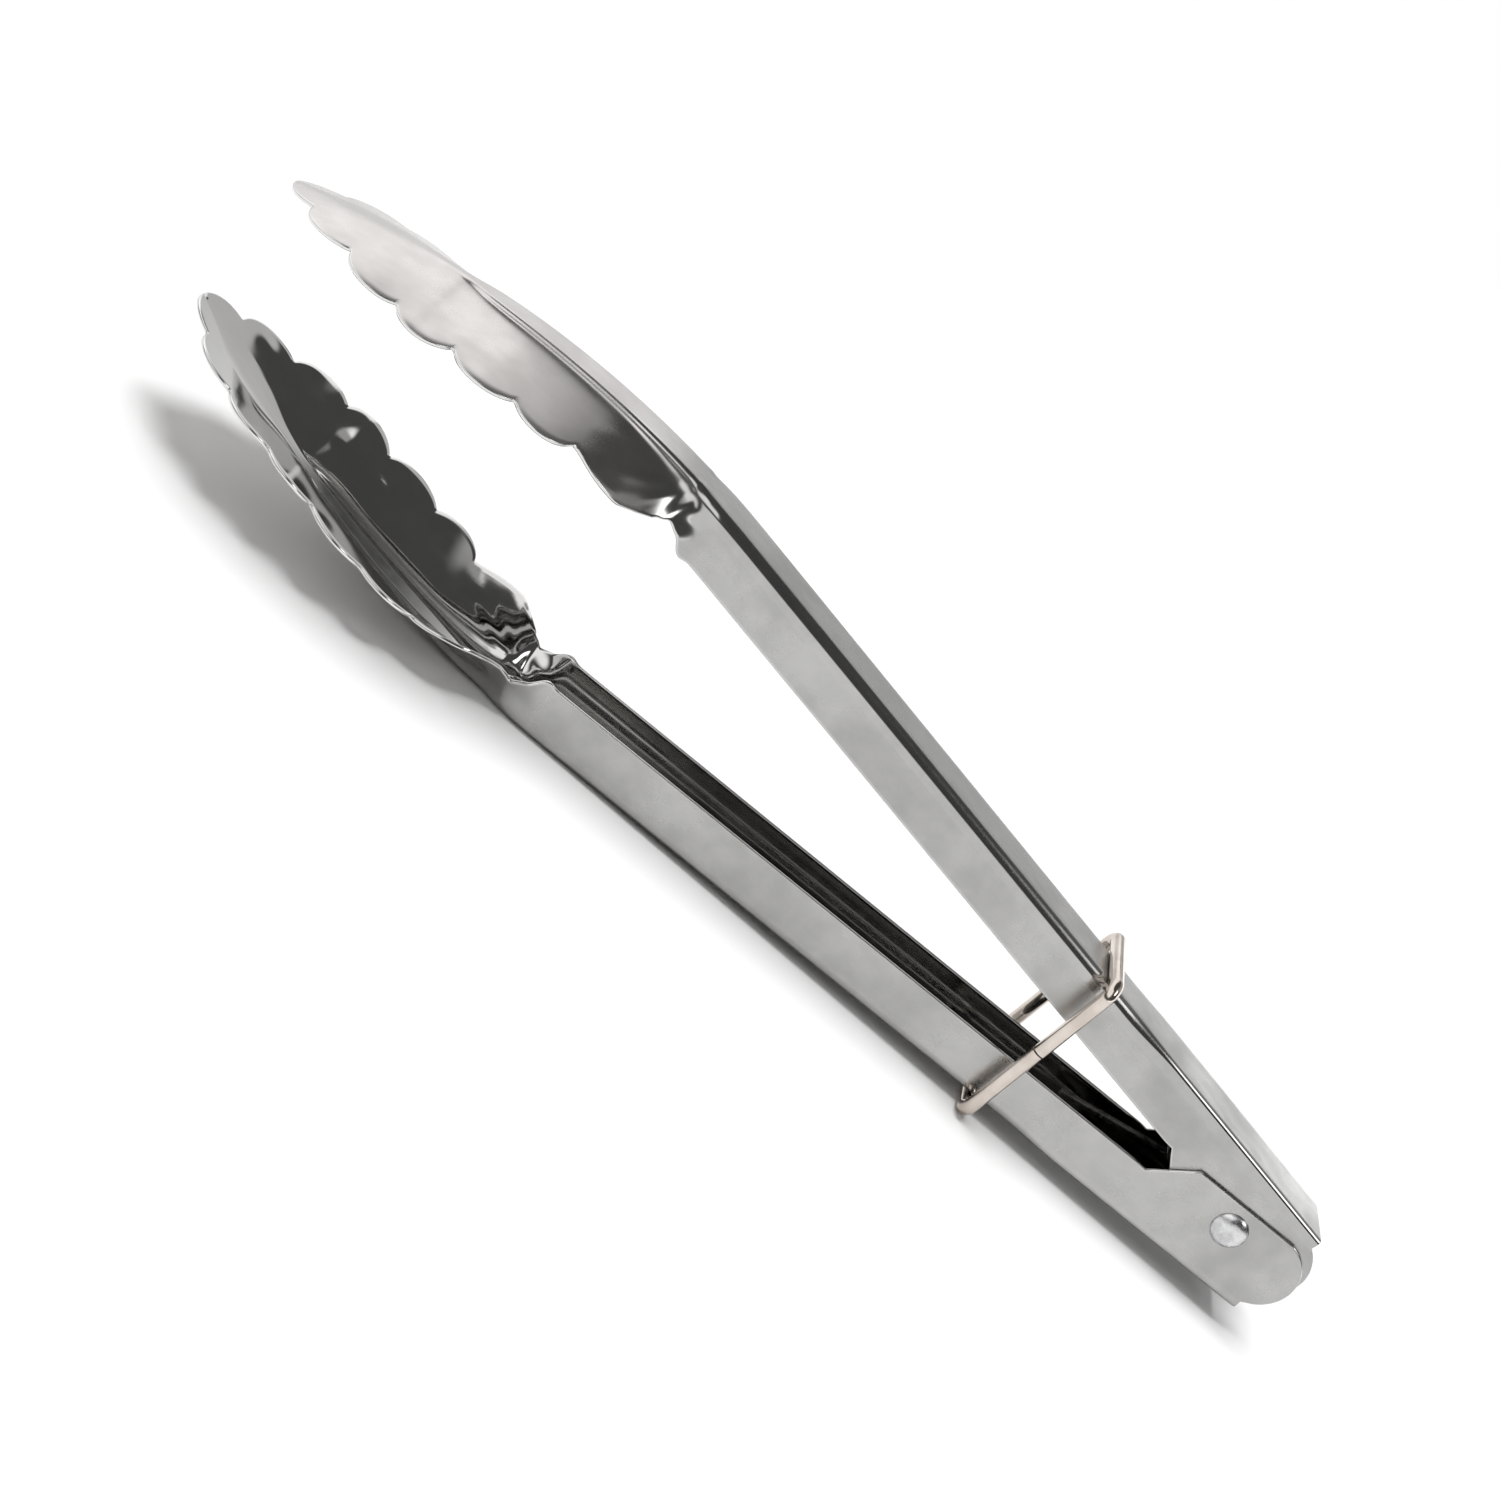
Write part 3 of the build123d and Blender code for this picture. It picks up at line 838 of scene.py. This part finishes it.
def springPath():
    # in along the lower arm, round the rivet, and out along the upper arm
    radius = spring["coilRadius"]
    reach = spring["legReach"]
    drop = arm["spineDrop"] - arm["sheet"] - spring["legGap"] - spring["wire"] / 2
    slope = math.atan2(drop, reach) - math.asin(radius / math.hypot(drop, reach))
    legLength = math.sqrt(drop ** 2 + reach ** 2 - radius ** 2)
    start = slope + lean
    end = math.pi - slope - (math.radians(arm["opening"]) - lean) + 2 * math.pi * spring["fullTurns"]
    turns = (end - start) / (2 * math.pi)
    length = spring["pitch"] * turns
    # the coil climbs evenly, and eases in and out over a quarter of a turn
    ease = 1 / math.ceil(4 * turns)
    steady = 1 / (1 - ease)
    points = []
    steps = int(spring["stepsInTurn"] * turns)
    for k in range(steps + 1):
        share = k / steps
        if share < ease:
            travel = steady * share ** 2 / (2 * ease)
        elif share > 1 - ease:
            travel = 1 - steady * (1 - share) ** 2 / (2 * ease)
        else:
            travel = steady * (share - ease / 2)
        turn = start + share * (end - start)
        points.append(Vector((radius * math.sin(turn), length * (travel - 0.5), -radius * math.cos(turn))))
    points.insert(0, points[0] - Vector((math.cos(start), 0, math.sin(start))) * legLength)
    points.append(points[-1] + Vector((math.cos(end), 0, math.sin(end))) * legLength)
    return [pivot + p * mm for p in points], length


springPoints, coilLength = springPath()
springSizes = {"Wire Radius": spring["wire"] / 2 * mm, "Bend Radius": 0.0, "Bend Steps": 1,
               "Wire Sides": spring["sides"]}
springFinish = makeWireFinish("springSteel", drawnSteel)
springMesh = sweptWire("torsionSpringWire", springPoints, springFinish, springSizes)
springPiece = newPiece("torsionSpringWire", springMesh, springFinish, "torsion_spring")
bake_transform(springPiece)


# Rivet: low pressed dome on the near side, upset tail on the far side

rivet = {
    "face": 9.0,                       # half the lower arm's width
    "head": ((0.0, 1.50), (0.8, 1.48), (1.6, 1.42), (2.3, 1.30), (2.9, 1.12), (3.4, 0.88), (3.75, 0.62),
             (3.98, 0.38), (4.08, 0.18), (4.1, 0.04), (4.04, 0.0)),
    "tail": ((0.0, 1.20), (0.8, 1.18), (1.6, 1.10), (2.3, 0.97), (2.9, 0.80), (3.3, 0.6), (3.58, 0.36),
             (3.68, 0.16), (3.7, 0.04), (3.64, 0.0)),
    "shaft": 2.0,
    "steps": 72,
    "dents": 0.05,
    "dentSize": 1.7,
    "dentSeed": 9,
    "dentRise": 0.5,                   # full depth from this height on
}
aluminium = {
    "colours": ((0.46, 0.46, 0.465), (0.74, 0.74, 0.745)),
    "roughness": (0.2, 0.34),
    "patches": {"Size": 2.6, "Softness": 0.15},
    "fine": {"Size": 0.5, "Softness": 0.25},
    "hairs": {"Turn": 0.7, "Length": 3.0, "Width": 0.12, "Amount": 0.64},
    "patchShare": 0.7,
    "fineShare": 0.3,
    "hairRough": 0.06,
    "hairDepth": 0.4,
    "dentHeight": 0.00003,
    "bump": 0.5,
}


def rivetMesh():
    face = rivet["face"]
    outline = [(radius, -face - height) for radius, height in rivet["head"]]
    outline += [(rivet["shaft"], -face), (rivet["shaft"], face)]
    outline += [(radius, face + height) for radius, height in reversed(rivet["tail"])]
    steps = rivet["steps"]
    size = rivet["dentSize"]
    points = [(0, outline[0][1], 0)]
    for radius, y in outline[1:-1]:
        side = math.copysign(1, y)
        depth = rivet["dents"] * side * min((abs(y) - face) / rivet["dentRise"], 1)
        for k in range(steps):
            turn = 2 * math.pi * k / steps
            x = radius * math.cos(turn)
            z = radius * math.sin(turn)
            dent = noise.noise(Vector((x / size, z / size, side * rivet["dentSeed"])))
            points.append((x, y + depth * dent, z))
    points.append((0, outline[-1][1], 0))
    rings = [[1 + row * steps + k for k in range(steps)] for row in range(len(outline) - 2)]
    faces = [(0, rings[0][k], rings[0][(k + 1) % steps]) for k in range(steps)]
    for a, b in zip(rings, rings[1:]):
        faces += [(a[k], b[k], b[(k + 1) % steps], a[(k + 1) % steps]) for k in range(steps)]
    last = len(points) - 1
    faces += [(last, rings[-1][(k + 1) % steps], rings[-1][k]) for k in range(steps)]
    return smoothMesh("pivotRivet", [tuple(pivot + Vector(p) * mm) for p in points], faces)


def makeRivetFinish():
    look = aluminium
    material, tree, shader = startMaterial("rivetAluminium")
    place = inMillimetres(tree)
    patches = placeGroup(tree, smudgeClouds, place, look["patches"])
    fine = placeGroup(tree, smudgeClouds, place, look["fine"])
    hairs = placeGroup(tree, hairScratches, place, look["hairs"])
    mixed = addShares(tree, (patches, look["patchShare"]), (fine, look["fineShare"]))
    colour = addTint(tree, mixed, *look["colours"])
    rough = addBlend(tree, mixed, *look["roughness"])
    rough = addMath(tree, "ADD", rough, addMath(tree, "MULTIPLY", hairs, look["hairRough"]))
    height = addMath(tree, "SUBTRACT", patches, addMath(tree, "MULTIPLY", hairs, look["hairDepth"]))
    joinMetal(tree, shader, colour, rough, height, look["dentHeight"], look["bump"])
    return material


newPiece("pivotRivet", rivetMesh(), makeRivetFinish(), "pivot_rivet", "lower_arm")
print("rivet done")


# Stage: white floor, soft light, the photograph's camera

studio = {
    "floorSize": 60.0,
    "floorColour": (0.93, 0.93, 0.93),
    "floorRoughness": 0.9,
    "sunWay": (-0.05, 0.04, 1.0),      # towards the light
    "sunAngle": 36,
    "sunStrength": 2.65,
}
# the room that the metal mirrors: strengths, and limits in the direction's X, Y or Z
sky = {
    "onFloor": 0.52,                   # share of the sky that lights the floor
    "room": 0.085,
    "horizon": (0.85, 2.2),            # to the left and to the right
    "horizonTurn": (0.3, 0.5),
    "horizonSides": (-0.1, 0.2),       # from the front to the back
    "frontHorizon": (0.03, 0.10),
    "backHorizon": (0.12, 0.34),
    "backWall": 0.72,
    "backWallFrom": (-0.05, 0.35),
    "backWallTop": (0.64, 0.675),
    "sideWallDim": 0.5,                # the wall's foot is darker on the right
    "sideWallFrom": (0.12, 0.2),
    "sideWallLow": (0.3, 0.45),
    "panelX": ((-0.08, -0.04), (0.085, 0.1)),       # a dark thing before the wall
    "panelZ": ((0.36, 0.39), (0.45, 0.48)),
    "leftLight": 1.4,
    "leftFrom": (0.0, 0.06),
    "leftLow": (0.2, 0.45),
    "leftTop": (0.85, 0.88),
    "leftDim": 0.5,                    # the light's inner top corner is dimmer
    "leftCornerX": (-0.17, -0.1),
    "leftCornerZ": (0.72, 0.78),
    "ceiling": 0.35,                   # over the pivot end
    "ceilingFrom": (0.46, 0.52),
    "ceilingEnd": (0.68, 0.76),
    "ceilingLow": (0.5, 0.6),
    "lamp": 4.0,                       # a strip in that ceiling
    "lampFrom": (-0.62, -0.5),
    "lampTo": (-0.2, -0.1),
}
cameraFit = {
    "place": (-0.04901, -0.41271, 0.19214),
    "azimuth": 5.532,
    "elevation": 21.736,
    "roll": 42.740,
    "lens": 51.65,
    "sensor": 36,
    "nearest": 0.01,
}


def makeFloor():
    half = studio["floorSize"] / 2
    corners = [(-half, -half, 0), (half, -half, 0), (half, half, 0), (-half, half, 0)]
    mesh = bpy.data.meshes.new("floor")
    mesh.from_pydata(corners, [], [(0, 1, 2, 3)])
    floor = bpy.data.objects.new("floor", mesh)
    bpy.context.scene.collection.objects.link(floor)
    material, tree, shader = startMaterial("floorWhite")
    shader.inputs["Base Color"].default_value = (*studio["floorColour"], 1)
    shader.inputs["Roughness"].default_value = studio["floorRoughness"]
    shader.inputs["Specular IOR Level"].default_value = 0.0
    mesh.materials.append(material)


def makeSky():
    world = bpy.data.worlds.new("studioSky")
    bpy.context.scene.world = world
    world.use_nodes = True
    tree = world.node_tree
    background = tree.nodes["Background"]
    direction = addNode(tree, "ShaderNodeTexCoord").outputs["Generated"]
    way = addNode(tree, "ShaderNodeSeparateXYZ", {0: direction}).outputs

    def rise(axis, limits, *strengths):
        return addRange(tree, way[axis], *limits, *strengths)

    def fade(axis, limits):
        return addFade(tree, way[axis], *limits)

    dim = rise("Z", sky["sideWallLow"], sky["sideWallDim"], 1.0)
    foot = addBlend(tree, rise("X", sky["sideWallFrom"]), 1.0, dim)
    panel = addProduct(tree, rise("X", sky["panelX"][0]), fade("X", sky["panelX"][1]),
                       rise("Z", sky["panelZ"][0]), fade("Z", sky["panelZ"][1]))
    clear = addMath(tree, "SUBTRACT", 1.0, panel)
    wall = addProduct(tree, rise("Y", sky["backWallFrom"]), fade("Z", sky["backWallTop"]), foot, clear)
    room = addBlend(tree, wall, sky["room"], sky["backWall"])
    left = addProduct(tree, fade("X", sky["leftFrom"]), rise("Z", sky["leftLow"]), fade("Z", sky["leftTop"]))
    corner = addProduct(tree, rise("X", sky["leftCornerX"]), rise("Z", sky["leftCornerZ"]))
    room = addBlend(tree, left, room, addBlend(tree, corner, sky["leftLight"], sky["leftDim"]))
    ceiling = addProduct(tree, rise("X", sky["ceilingFrom"]), rise("Y", sky["lampFrom"]),
                         rise("Z", sky["ceilingLow"]), fade("X", sky["ceilingEnd"]))
    room = addBlend(tree, ceiling, room, rise("Y", sky["lampTo"], sky["lamp"], sky["ceiling"]))
    frontLow = rise("Z", sky["frontHorizon"])
    backLow = rise("Z", sky["backHorizon"])
    low = addBlend(tree, rise("Y", sky["horizonSides"]), frontLow, backLow)
    pale = rise("X", sky["horizonTurn"], *sky["horizon"])
    seen = addBlend(tree, low, pale, room)
    rays = tree.nodes.new("ShaderNodeLightPath").outputs
    mirrored = addMath(tree, "MAXIMUM", rays["Is Glossy Ray"], rays["Is Transmission Ray"])
    light = addProduct(tree, seen, addBlend(tree, mirrored, sky["onFloor"], 1.0))
    # past the floor the camera sees plain white
    tree.links.new(addBlend(tree, rays["Is Camera Ray"], light, 1.0), background.inputs["Strength"])
    background.inputs["Color"].default_value = (1, 1, 1, 1)


def makeSun():
    light = bpy.data.lights.new("softKey", "SUN")
    light.energy = studio["sunStrength"]
    light.angle = math.radians(studio["sunAngle"])
    sun = bpy.data.objects.new("softKey", light)
    sun.rotation_mode = "QUATERNION"
    sun.rotation_quaternion = Vector(studio["sunWay"]).to_track_quat("Z", "Y")
    bpy.context.scene.collection.objects.link(sun)
    sun.visible_glossy = False         # it lights the floor, and the metal mirrors the room


def makeCamera():
    azimuth, elevation, roll = [math.radians(cameraFit[k]) for k in ("azimuth", "elevation", "roll")]
    level = math.cos(elevation)
    ahead = Vector((math.sin(azimuth) * level, math.cos(azimuth) * level, -math.sin(elevation)))
    right = Vector((math.cos(azimuth), -math.sin(azimuth), 0))
    up = right.cross(ahead)
    pictureRight = right * math.cos(roll) + up * math.sin(roll)
    pictureUp = up * math.cos(roll) - right * math.sin(roll)
    camera = bpy.data.objects.new("camera", bpy.data.cameras.new("camera"))
    camera.data.lens = cameraFit["lens"]
    camera.data.sensor_width = cameraFit["sensor"]
    camera.data.clip_start = cameraFit["nearest"]
    turned = Matrix((pictureRight, pictureUp, -ahead)).transposed()
    camera.matrix_world = Matrix.Translation(cameraFit["place"]) @ turned.to_4x4()
    bpy.context.scene.collection.objects.link(camera)
    bpy.context.scene.camera = camera


makeFloor()
makeSky()
makeSun()
makeCamera()
bpy.context.scene.view_settings.view_transform = "Standard"
print("stage done")
